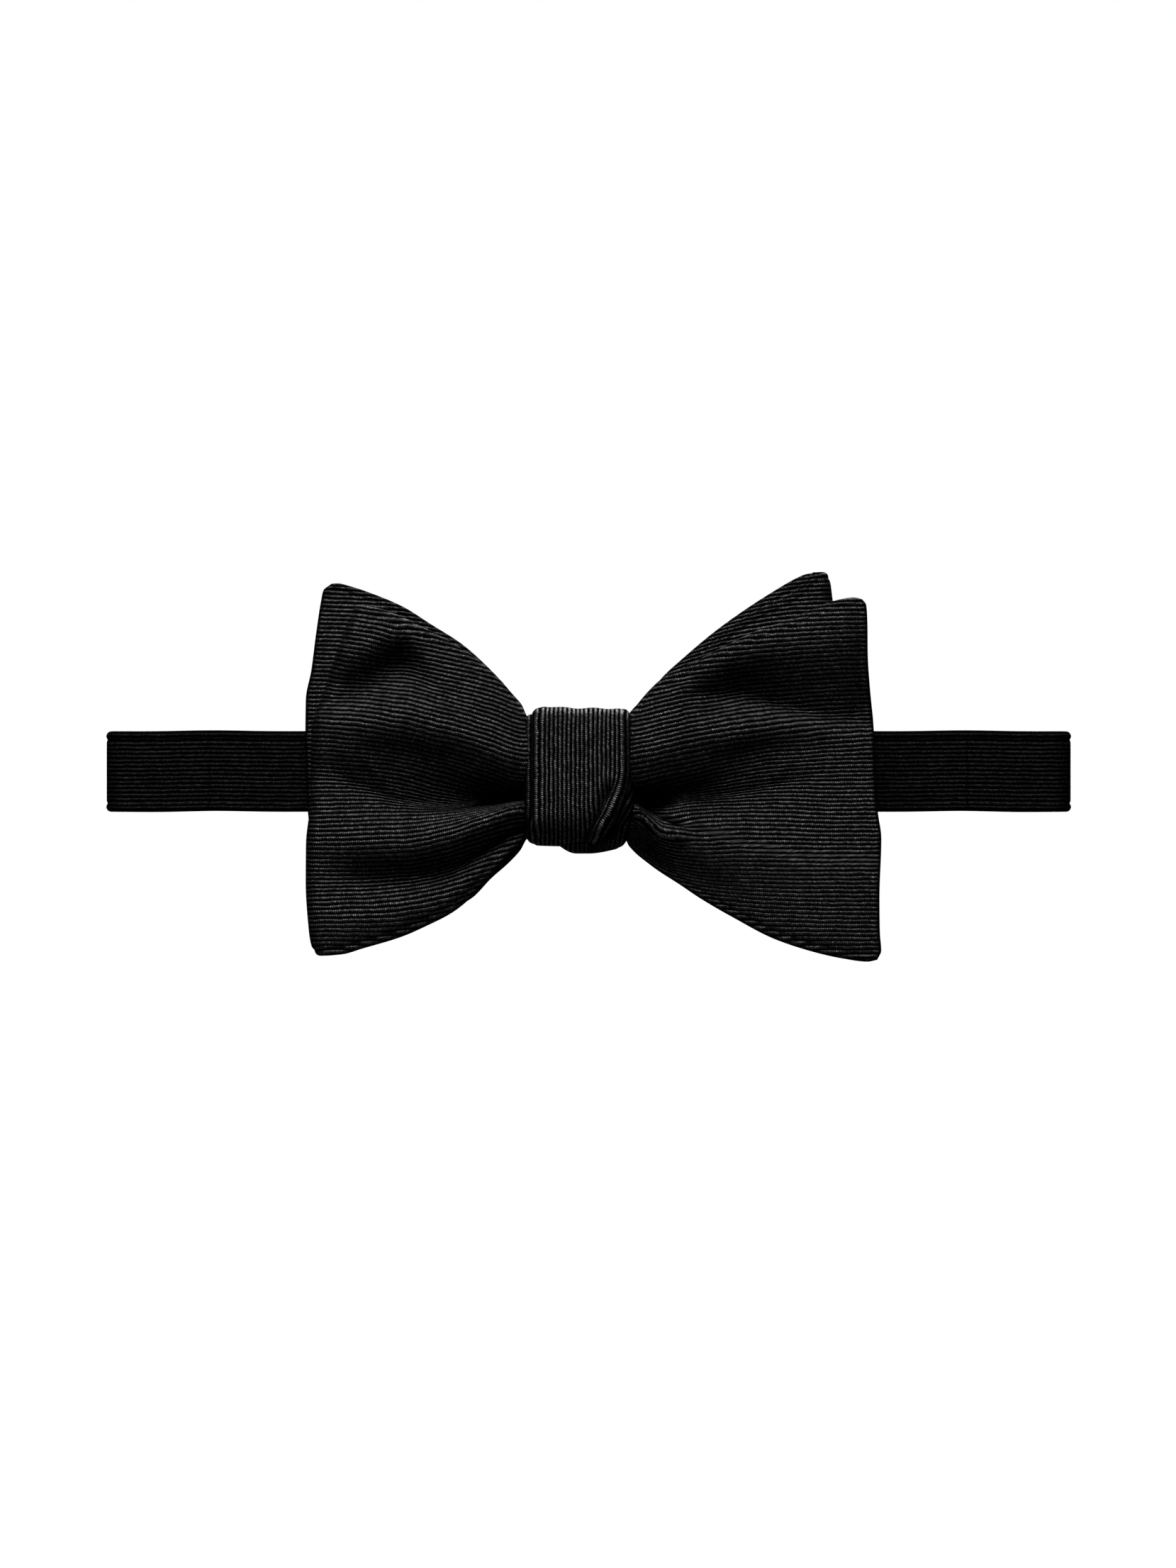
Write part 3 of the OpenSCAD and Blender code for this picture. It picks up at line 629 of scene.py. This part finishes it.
def right_back_loop():
    fold_r = 1.75
    fold = [(53.6 - fold_r, -34), (54.4 - fold_r, -30), (54.3 - fold_r, -14), (53.9 - fold_r, 0),
            (52.6 - fold_r, 12), (51.0 - fold_r, 22), (49.9 - fold_r, 30), (49.0 - fold_r, 34.7),
            (48.4 - fold_r, 38.8), (47.4 - fold_r, 40.5)]
    top = [(4, 9.2), (7.2, 9.8), (8.7, 11.6), (12.7, 15.3), (15.3, 17.8), (22.3, 23.0), (26.3, 27.0),
           (30.0, 30.2), (35.5, 33.5), (41.0, 36.1), (44.0, 38.6), (47.4 - fold_r, 40.5)]
    rear_top = [(4, 9.4), (7.2, 10.4), (8.7, 12.4), (12.7, 16.3), (15.3, 19.5), (18.9, 22.8),
                (24.9, 27.9), (30.0, 31.7), (37.3, 36.5), (42.9, 39.7), (44.4, 40.3),
                (47.4 - fold_r, 40.5)]
    bottom = [(4, -11.6), (7.4, -12.8), (9.5, -15), (18.9, -22.4), (30, -28.6), (42.9, -33.4),
              (53.6 - fold_r, -34)]
    front = plain_relief([4, 8.9, 20, 32, 42, 53], (-7.9, -7.7), 0.3, 38, -34, 1.9)
    rear = plain_relief([4, 8.9, 20, 32, 42, 53], (-4.6, -4.2), 0.35, 39, -34, 1.6)
    return loop("back_loop", (top, bottom, fold, front), (rear_top, bottom, fold, rear), fold_r)


# What each wing is made by, its body, its CAD nodes' name, its side, and its flat width, length and area.
WINGS = [
    (left_front_loop, "left_front_wing", "front_loop", -1, (0.0750, 0.0980), 0.00515),
    (left_back_end, "left_back_wing", "back_end", -1, (0.0740, 0.0500), 0.00262),
    (right_front_end, "right_front_wing", "front_end", 1, (0.0750, 0.0560), 0.00293),
    (right_back_loop, "right_back_wing", "back_loop", 1, (0.0750, 0.0940), 0.00495),
]
for make, body, node, side, flat, area in WINGS:
    wing = make()
    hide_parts(f"{node}_face", f"{node}_interlining", f"{node}_lining")
    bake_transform(wing)


# ---- Knot ----------------------------------------------------------------------------------------

def knot_section(front, back, top, bottom, low_corner, high_corner, count):
    """A rounded box in (y, z): count points from the back's low corner, under the knot, up the front and
    over. Also each point's distance along it."""
    points = []
    corners = ((back, -1, bottom, 0), (front, 1, bottom, -90), (front, 1, top, -180), (back, -1, top, -270))
    for side_y, sign, side_z, first in corners:
        corner = low_corner if side_z == bottom else high_corner
        y = side_y + sign * corner
        z = side_z + corner * (1 if side_z == bottom else -1)
        for step in range(9):
            angle = math.radians(first - 90 * step / 8)
            points.append((y + corner * math.cos(angle), z + corner * math.sin(angle)))
    points.append(points[0])
    points = np.array(points)
    run = np.concatenate([[0], np.cumsum(np.linalg.norm(np.diff(points, axis=0), axis=1))])
    at = np.linspace(0, run[-1], count + 1)[:-1]
    return np.column_stack([np.interp(at, run, points[:, k]) for k in (0, 1)]), at


KNOT_LEFT = -11.4
KNOT_RIGHT = 8.3


def knot_strip(name, section, edges, shape, rib, thickness, painted_glint_level=1.0):
    """A ring of cloth round the waist. edges(y, z) gives the strip's left and right x at each place round
    the ring, shape(x, y, z) how far each point moves outward, and rib(x, y, z) the place across the cloth.
    A last argument below 1 dims the painted highlight on its crests, a painted shade."""
    ring, run = section
    across = spread(20.0, 0.42, EDGE_ROWS[:8]) / 20.0
    centre = ring.mean(axis=0)
    tangent = np.roll(ring, -1, axis=0) - np.roll(ring, 1, axis=0)
    outward = np.column_stack([-tangent[:, 1], tangent[:, 0]])
    outward /= np.linalg.norm(outward, axis=1)[:, None]
    outward *= np.sign(((ring - centre) * outward).sum(axis=1))[:, None]
    left, right = edges(ring[:, 0], ring[:, 1])
    x = left[:, None] + (right - left)[:, None] * across[None, :]
    y = ring[:, 0][:, None] + 0 * x
    z = ring[:, 1][:, None] + 0 * x
    out = shape(x, y, z)
    across_cloth = rib(x, y, z)
    y = y + out * outward[:, 0][:, None]
    z = z + out * outward[:, 1][:, None]
    middle = np.stack([x, y, z], axis=-1)
    width = (right - left)[:, None]
    side = np.minimum(across, 1 - across)[None, :] * width
    # Painted shade: the capped distance from the edge is scaled down by the last argument, which dims the
    # painted highlight.
    painted_glint_fade = np.minimum(side, 1.2) * painted_glint_level
    weave = np.stack([run[:, None] + 0 * x, across_cloth, painted_glint_fade], axis=-1)
    # The painted highlight and crest tone are dimmed where the ring turns over the top, a painted shade.
    weave[..., 2] *= 1 - 0.8 * smooth_step(11.4, 12.8, middle[..., 2])
    half = edge_profile(side, thickness)
    half[:, 0] = half[:, -1] = 0
    return thick_sheet(name, middle[::-1], half[::-1], weave[::-1], KNOT_SILK, wrap=True)


def front_share(y):
    """1 on the knot's front, 0 on its back."""
    return 1 - smooth_step(-14.5, -9.5, y)


def wrap_edges(y, z):
    """The wrap's right edge curls to the left low on the front and underneath, and is straight behind."""
    curl = 6.3 * np.clip(-z / 14.5, 0, 1) ** 1.7
    left = KNOT_LEFT - 1.2 * smooth_step(-9, -14.5, z)
    return left, KNOT_RIGHT - curl * (1 - smooth_step(-9, -5.5, y))


def wrap_shape(x, y, z):
    """Rolled edges, a soft crown, the curled margin low on the right with a dent beside it, and a slightly
    wavy top that is lower on the right."""
    left, right = wrap_edges(y, z)
    margin = right - x
    roll = -1.5 * (1 - smooth_step(0, 2.6, x - left)) ** 2 - 1.1 * (1 - smooth_step(0, 2.0, margin)) ** 2
    crown = 0.25 * (1 - ((x + 1.5) / 10.5) ** 2)
    low = front_share(y) * smooth_step(-1.5, -5.5, z)
    deep = low * (1 - smooth_step(-10.5, -14, z))
    dent = -1.2 * hump(margin, 3.4, 1.5) * deep
    lip = 0.35 * hump(margin, 1.4, 1.0) * low
    tilt = -0.55 * smooth_step(-11, -2, x) * smooth_step(6, 12, z)
    wave = 0.12 * np.sin(x * 1.05 + 0.6) * smooth_step(8, 12, z)
    return roll + crown + dent + lip + tilt + wave


def wrap_rib(x, y, z):
    """Ribs stand upright across the knot, and along the curled margin they follow its edge."""
    left, right = wrap_edges(y, z)
    return x + (KNOT_RIGHT - right) * (1 - smooth_step(2.2, 4.6, right - x))


def inner_edges(y, z):
    """The inner turn shows as a narrow strip on the left and a crescent under the curl."""
    right = 8.7 + 0.5 * hump(z, -5.5, 3.5) - 1.6 * smooth_step(-9, -15, z)
    return -12.95 + 0 * z, right


def inner_shape(x, y, z):
    """The crescent sags out underneath, low on the right."""
    left, right = inner_edges(y, z)
    roll = -1.2 * (1 - smooth_step(0, 2.0, x - left)) ** 2 - 1.4 * (1 - smooth_step(0, 2.4, right - x)) ** 2
    sag = 3.5 * smooth_step(-9, -12.3, z) * smooth_step(-9.5, -2.5, x) * smooth_step(-16.0, -13.5, y)
    return roll + sag * (1 - 0.45 * smooth_step(0, 10, x))


def inner_rib(x, y, z):
    """The crescent's ribs follow the curl's edge."""
    left, right = wrap_edges(y, z)
    return x + (KNOT_RIGHT - right) * smooth_step(-4, 0, x - right)


wrap_section = knot_section(-18.6, -3.1, 12.3, -14.3, 6.0, 3.0, 150)
wrap = knot_strip("knot_wrap", wrap_section, wrap_edges, wrap_shape, wrap_rib, WRAP_T)
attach(wrap, "knot")
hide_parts("knot_wrap_face", "knot_wrap_interlining")

inner_section = knot_section(-16.2, -4.5, 11.0, -12.6, 5.4, 2.4, 130)
# The inner turn, under the curl, has its painted highlight dimmed: painted shade.
inner = knot_strip(
    "knot_inner_turn", inner_section, inner_edges, inner_shape, inner_rib, INNER_TURN_T, painted_glint_level=0.45
)
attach(inner, "knot")
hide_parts("knot_wrap_lining", "knot_under_turn")


def waist_bundle():
    """The gathered cloth inside the knot: a pleated core that the wings run into."""
    count = 96
    angle = np.linspace(0, 2 * math.pi, count, endpoint=False)
    rows = []
    for x in np.linspace(-11, 6.6, 24):
        pinch = 1 - 0.06 * math.cos((x + 2) / 9 * math.pi)
        pleat = 1 + 0.07 * np.cos(9 * angle + 0.1 * x)
        box = np.clip(1.16 * np.column_stack([np.cos(angle), np.sin(angle)]), -1, 1)
        ring = np.column_stack([np.full(count, x), -10.6 + 4.6 * pinch * box[:, 0] * pleat,
                                -1.0 + 9.8 * pinch * box[:, 1] * pleat])
        rows.append(ring)
    vertices = np.concatenate(rows)
    faces = []
    for i in range(len(rows) - 1):
        for j in range(count):
            k = (j + 1) % count
            faces.append((i * count + j, i * count + k, (i + 1) * count + k, (i + 1) * count + j))
    faces.append(tuple(range(count))[::-1])
    faces.append(tuple((len(rows) - 1) * count + j for j in range(count)))
    weave = np.column_stack([vertices[:, 0], np.tile(angle * 7, len(rows)), 3 + 0 * vertices[:, 0]])
    return new_piece("waist_gathers", vertices, faces, weave, KNOT_SILK)


waist = waist_bundle()
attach(waist, "knot")
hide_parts("front_waist", "back_waist")


# ---- Neckband ------------------------------------------------------------------------------------

def cad_mm(node):
    """A CAD node's lowest and highest corners in millimetres."""
    low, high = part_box(node)
    return np.array(low) / MM, np.array(high) / MM


def ribbon(name, path, low, high, thickness, run_start=0.0, step=0.8):
    """A strip of doubled cloth that stands on edge along a path in (x, y), between two heights. run_start is
    how far along the cloth it starts, so that its wavy edges meet the last strip's."""
    line = Line(path)
    count = max(4, int(line.length / step))
    centre = line.at(np.linspace(0, 1, count + 1))
    height = high - low
    share = spread(height, 0.6, EDGE_ROWS[:8]) / height
    run = run_start + np.linspace(0, line.length, count + 1)
    droop = 0.10 * np.sin(run / 9.0) + 0.05 * np.sin(run / 3.7 + 1)
    z = low + height * share[None, :] + droop[:, None]
    middle = np.stack([centre[:, 0][:, None] + 0 * z, centre[:, 1][:, None] + 0 * z, z], axis=-1)
    side = np.minimum(share, 1 - share)[None, :] * height + 0 * z
    half = edge_profile(side, thickness)
    half[:, 0] = half[:, -1] = 0
    weave = np.stack([run[:, None] + 0 * z, z - droop[:, None], side], axis=-1)
    strip = thick_sheet(name, middle, half, weave, BAND_SILK_PAINTED_SHADE)
    return strip


(_, _, band_low), (loop_right, _, band_high) = cad_mm("right_fold_band")
# The band's front and rear runs, and the round fold between them.
FRONT_Y = -0.9
REAR_Y = 6.3
FOLD_R = 3.6
FOLD_X = loop_right - FOLD_R - BAND_T / 2
FOLD_MID_Y = FRONT_Y + FOLD_R
# The hinges' places along each run, with the ends of the strips halfway between them.
LINK = 26.0
SIDE = 61.0
KNOT_HALF = 5.5
MIDDLE_RUN = (LINK + SIDE) / 2
SPLIT_X = (SIDE + FOLD_X) / 2
HINGE_FRONT = (FOLD_X + FOLD_R * math.sqrt(0.5), FOLD_MID_Y - FOLD_R * math.sqrt(0.5))
HINGE_REAR = (HINGE_FRONT[0], FOLD_MID_Y + FOLD_R * math.sqrt(0.5))
# How far each side of a hinge the cloth would bend, on a run, at the fold and beside the tail. The stretches
# carry these, but nothing reads them.
BLEND = 6.0
FOLD_BLEND = 2.2
TAIL_BLEND = 4.5


def arc(centre_x, centre_y, radius, start, end, steps=8):
    """Points round a turn of the band, angles in degrees in the (x, y) plane."""
    angles = np.radians(np.linspace(start, end, steps))
    return [(centre_x + radius * math.cos(a), centre_y + radius * math.sin(a)) for a in angles]


front_turn = arc(FOLD_X, FOLD_MID_Y, FOLD_R, -90, 0)
rear_turn = arc(FOLD_X, FOLD_MID_Y, FOLD_R, 0, 90)

for side, sign, end in (("left", -1, "hook_end"), ("right", 1, "ring_end")):
    front, flank, fold, rear, nape = (f"{side}_{link}" for link in ("front", "side", "fold", "rear", "nape"))
    # Each stretch's name, two bodies, path, hinge, the way it runs through the hinge, and how far it bends.
    # It stands for the band nodes of its farther body.
    stretches = [
        ("front_run", "knot", front, [(KNOT_HALF, FRONT_Y), (LINK, FRONT_Y), (MIDDLE_RUN, FRONT_Y)],
         (LINK, FRONT_Y), (1, 0), BLEND),
        ("side_run", front, flank, [(MIDDLE_RUN, FRONT_Y), (SIDE, FRONT_Y), (SPLIT_X, FRONT_Y)],
         (SIDE, FRONT_Y), (1, 0), BLEND),
        ("front_fold", flank, fold, [(SPLIT_X, FRONT_Y), (FOLD_X, FRONT_Y)] + front_turn[1:],
         HINGE_FRONT, (0.707, 0.707), FOLD_BLEND),
        ("rear_fold", fold, rear, rear_turn[:-1] + [(FOLD_X, REAR_Y), (SPLIT_X, REAR_Y)],
         HINGE_REAR, (-0.707, 0.707), FOLD_BLEND),
        ("rear_run", rear, nape, [(SPLIT_X, REAR_Y), (SIDE, REAR_Y), (MIDDLE_RUN, REAR_Y)],
         (SIDE, REAR_Y), (-1, 0), BLEND),
        ("nape_run", nape, end, [(MIDDLE_RUN, REAR_Y), (LINK, REAR_Y), (17.2, REAR_Y)],
         (LINK, REAR_Y), (-1, 0), TAIL_BLEND),
    ]
    run = 0.0
    for label, near, far, path, joint, across, reach in stretches:
        flipped = [(sign * x, y) for x, y in path]
        band = ribbon(f"{side}_{label}", flipped, band_low, band_high, BAND_T, run)
        run += Line(path).length
        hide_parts(f"{far}_band", f"{far}_band_interlining")
        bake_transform(band)

centre_path = [(-KNOT_HALF, FRONT_Y), (0, FRONT_Y), (KNOT_HALF, FRONT_Y)]
centre_band = ribbon("knot_band", centre_path, band_low, band_high, BAND_T)
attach(centre_band, "knot")
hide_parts("front_band", "front_band_interlining")


# ---- Band ends, clasp and slider -----------------------------------------------------------------

CLASP_Y = 7.1
# Each sewn loop turns back here, past the bar that it holds. The hook's bar slides inside its loop.
HOOK_LOOP_TURN_X = -9.45
RING_LOOP_TURN_X = 10.1
LOOP_MID = 1.2
INNER_WALL = CLASP_Y - LOOP_MID
OUTER_WALL = CLASP_Y + LOOP_MID
TAIL_Y = 7.80

# The hook's loop: out along the band, round past the bar, and back as the tail that the slider takes up.
hook_turn = arc(HOOK_LOOP_TURN_X, CLASP_Y, LOOP_MID, -90, 90, 11)
hook_path = [(-17.4, INNER_WALL), (-13, INNER_WALL)] + hook_turn + [(-14.5, OUTER_WALL), (-17.0, 8.05)]
hook_path += [(-19, TAIL_Y), (-21, TAIL_Y)]
hook_strip = ribbon("hook_loop_strip", hook_path, band_low, band_high, LOOP_T, step=0.35)
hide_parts("hook_loop")
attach(hook_strip, "hook_end")

near_path = [(-21, TAIL_Y), (-LINK, TAIL_Y), (-36.5, TAIL_Y)]
near_tail = ribbon("tail_near_clasp", near_path, band_low, band_high, TAIL_T, run_start=22)
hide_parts("hook_end_tail")
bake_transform(near_tail)

far_path = [(-49, TAIL_Y), (-45, TAIL_Y), (-36.5, TAIL_Y)]
far_tail = ribbon("tail_at_slider", far_path, band_low, band_high, TAIL_T, run_start=37)
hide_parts("left_nape_tail")
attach(far_tail, "left_nape")

ring_turn = arc(RING_LOOP_TURN_X, CLASP_Y, LOOP_MID, -90, -270, 11)
ring_path = [(17.4, INNER_WALL), (14, INNER_WALL)] + ring_turn
ring_path += [(14.5, OUTER_WALL), (17.0, 8.05), (20.0, TAIL_Y)]
ring_strip = ribbon("ring_loop_strip", ring_path, band_low, band_high, LOOP_T, step=0.35)
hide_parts("ring_loop")
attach(ring_strip, "ring_end")

# The end of the doubled band, sewn round the slider's middle bar.
(slider_left, slider_low_y, _), (slider_right, slider_high_y, _) = cad_mm("slider_frame")
bar_x = (slider_left + slider_right) / 2
bar_y = (slider_low_y + slider_high_y) / 2


def squared(value):
    """A sine or cosine fattened, so that it traces a rounded rectangle in place of a circle."""
    return math.copysign(abs(value) ** 0.6, value)


turn = [(bar_x + 1.0 * squared(math.sin(a)), bar_y - 0.74 * squared(math.cos(a)))
        for a in np.linspace(0, 2 * math.pi, 29)]
bight = ribbon("slider_bight_strip", turn, band_low, band_high, BIGHT_T, step=0.2)
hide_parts("slider_bight")
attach(bight, "slider")


def thread(name, points, radius, material, node, body):
    """A round thread through points given in millimetres."""
    curve = bpy.data.curves.new(name, "CURVE")
    curve.dimensions = "3D"
    curve.bevel_depth = radius * MM
    curve.bevel_resolution = 2
    curve.use_fill_caps = True
    spline = curve.splines.new("POLY")
    spline.points.add(len(points) - 1)
    for point, place in zip(spline.points, points):
        point.co = (place[0] * MM, place[1] * MM, place[2] * MM, 1)
    shell = bpy.data.objects.new(name + "_curve", curve)
    bpy.context.scene.collection.objects.link(shell)
    bpy.context.view_layer.update()
    mesh = bpy.data.meshes.new_from_object(shell.evaluated_get(bpy.context.evaluated_depsgraph_get()))
    bpy.data.objects.remove(shell)
    mesh.polygons.foreach_set("use_smooth", np.ones(len(mesh.polygons), bool))
    mesh.materials.clear()
    mesh.materials.append(material)
    piece = bpy.data.objects.new(name, mesh)
    bpy.context.scene.collection.objects.link(piece)
    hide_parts(node)
    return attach(piece, body)


STITCH_STEP = 0.24
THREAD_R = 0.16
for node, body, surface in (("hook_bartack", "hook_end", 8.42), ("ring_bartack", "ring_end", 8.46)):
    (left, _, low), (right, _, high) = cad_mm(node)
    heights = np.arange(low, high, STITCH_STEP)
    zigzag = [(left if k % 2 else right, surface, z) for k, z in enumerate(heights)]
    thread(node + "_thread", zigzag, THREAD_R, THREAD, node, body)


def bevelled(name, node, width, body):
    """A CAD fitting with its sharp corners rounded, as pressed and tumbled metal has them."""
    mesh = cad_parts[node].data.copy()
    mesh.materials.clear()
    mesh.materials.append(NICKEL)
    piece = bpy.data.objects.new(name, mesh)
    bpy.context.scene.collection.objects.link(piece)
    weld = piece.modifiers.new("weld", "WELD")
    weld.merge_threshold = 1e-6
    merge = piece.modifiers.new("merge", "DECIMATE")
    merge.decimate_type = "DISSOLVE"
    merge.angle_limit = math.radians(1)
    bevel = piece.modifiers.new("bevel", "BEVEL")
    bevel.width = width * MM
    bevel.segments = 3
    bevel.limit_method = "ANGLE"
    bevel.angle_limit = math.radians(40)
    bevel.harden_normals = True
    bpy.context.view_layer.update()
    done = bpy.data.meshes.new_from_object(piece.evaluated_get(bpy.context.evaluated_depsgraph_get()))
    piece.modifiers.clear()
    piece.data = done
    done.polygons.foreach_set("use_smooth", np.ones(len(done.polygons), bool))
    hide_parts(node)
    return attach(piece, body)


bevelled("hook_plate", "clasp_hook", 0.18, "hook")
bevelled("ring_wire", "clasp_ring", 0.08, "ring_end")
bevelled("slider_plate", "slider_frame", 0.2, "slider")


# ---- Camera, floor and light ---------------------------------------------------------------------

scene = bpy.context.scene
scene.view_settings.view_transform = "Standard"

camera_data = bpy.data.cameras.new("camera")
camera_data.lens = 100
camera_data.sensor_width = 36
camera_data.clip_start = 0.01
camera = bpy.data.objects.new("camera", camera_data)
scene.collection.objects.link(camera)
camera.location = (-0.00014, -0.8956, -0.0026)
camera.rotation_euler = (math.pi / 2, 0, 0)
scene.camera = camera


def soft_box(name, place, size, watts):
    """A rectangular light that faces the tie."""
    data = bpy.data.lights.new(name, "AREA")
    data.shape = "RECTANGLE"
    data.size, data.size_y = size
    data.energy = watts
    box = bpy.data.objects.new(name, data)
    scene.collection.objects.link(box)
    box.location = place
    x, y, z = place
    pitch = math.atan2(z, math.hypot(x, y))
    box.rotation_euler = (math.pi / 2 - pitch, 0, math.atan2(x, -y))


soft_box("key", (-0.08, -0.36, 0.71), (0.50, 0.24), 9)
soft_box("back", (0.10, 0.60, 0.62), (0.50, 0.30), 5)

world = bpy.data.worlds.new("studio")
scene.world = world
world.use_nodes = True
tree = world.node_tree
seen_by_camera = tree.nodes.new("ShaderNodeBackground")
seen_by_camera.inputs["Color"].default_value = (1, 1, 1, 1)
seen_by_camera.inputs["Strength"].default_value = 1.0
lighting = tree.nodes["Background"]
lighting.inputs["Color"].default_value = (1, 1, 1, 1)
lighting.inputs["Strength"].default_value = 0.012
path = tree.nodes.new("ShaderNodeLightPath")
choose = tree.nodes.new("ShaderNodeMixShader")
tree.links.new(path.outputs["Is Camera Ray"], choose.inputs["Fac"])
tree.links.new(lighting.outputs[0], choose.inputs[1])
tree.links.new(seen_by_camera.outputs[0], choose.inputs[2])
tree.links.new(choose.outputs[0], tree.nodes["World Output"].inputs["Surface"])


def floor_disc():
    """A plain pale floor well below the tie, out of the main view."""
    count, radius, depth = 96, 0.26, -0.60
    rim = [(radius * math.cos(2 * math.pi * k / count), radius * math.sin(2 * math.pi * k / count), depth)
           for k in range(count)]
    mesh = bpy.data.meshes.new("floor")
    mesh.from_pydata(rim, [], [list(range(count))])
    n = Nodes("pale_floor")
    place = n.add("ShaderNodeTexCoord").outputs["Object"]
    tone = n.add("ShaderNodeMix", data_type="RGBA")
    n.put(tone.inputs["Factor"], n.noise(place, 6.0))
    tone.inputs["A"].default_value = (0.78, 0.78, 0.78, 1)
    tone.inputs["B"].default_value = (0.84, 0.84, 0.84, 1)
    mesh.materials.append(n.set(Base_Color=tone.outputs["Result"], Roughness=0.9))
    disc = bpy.data.objects.new("floor", mesh)
    scene.collection.objects.link(disc)


floor_disc()
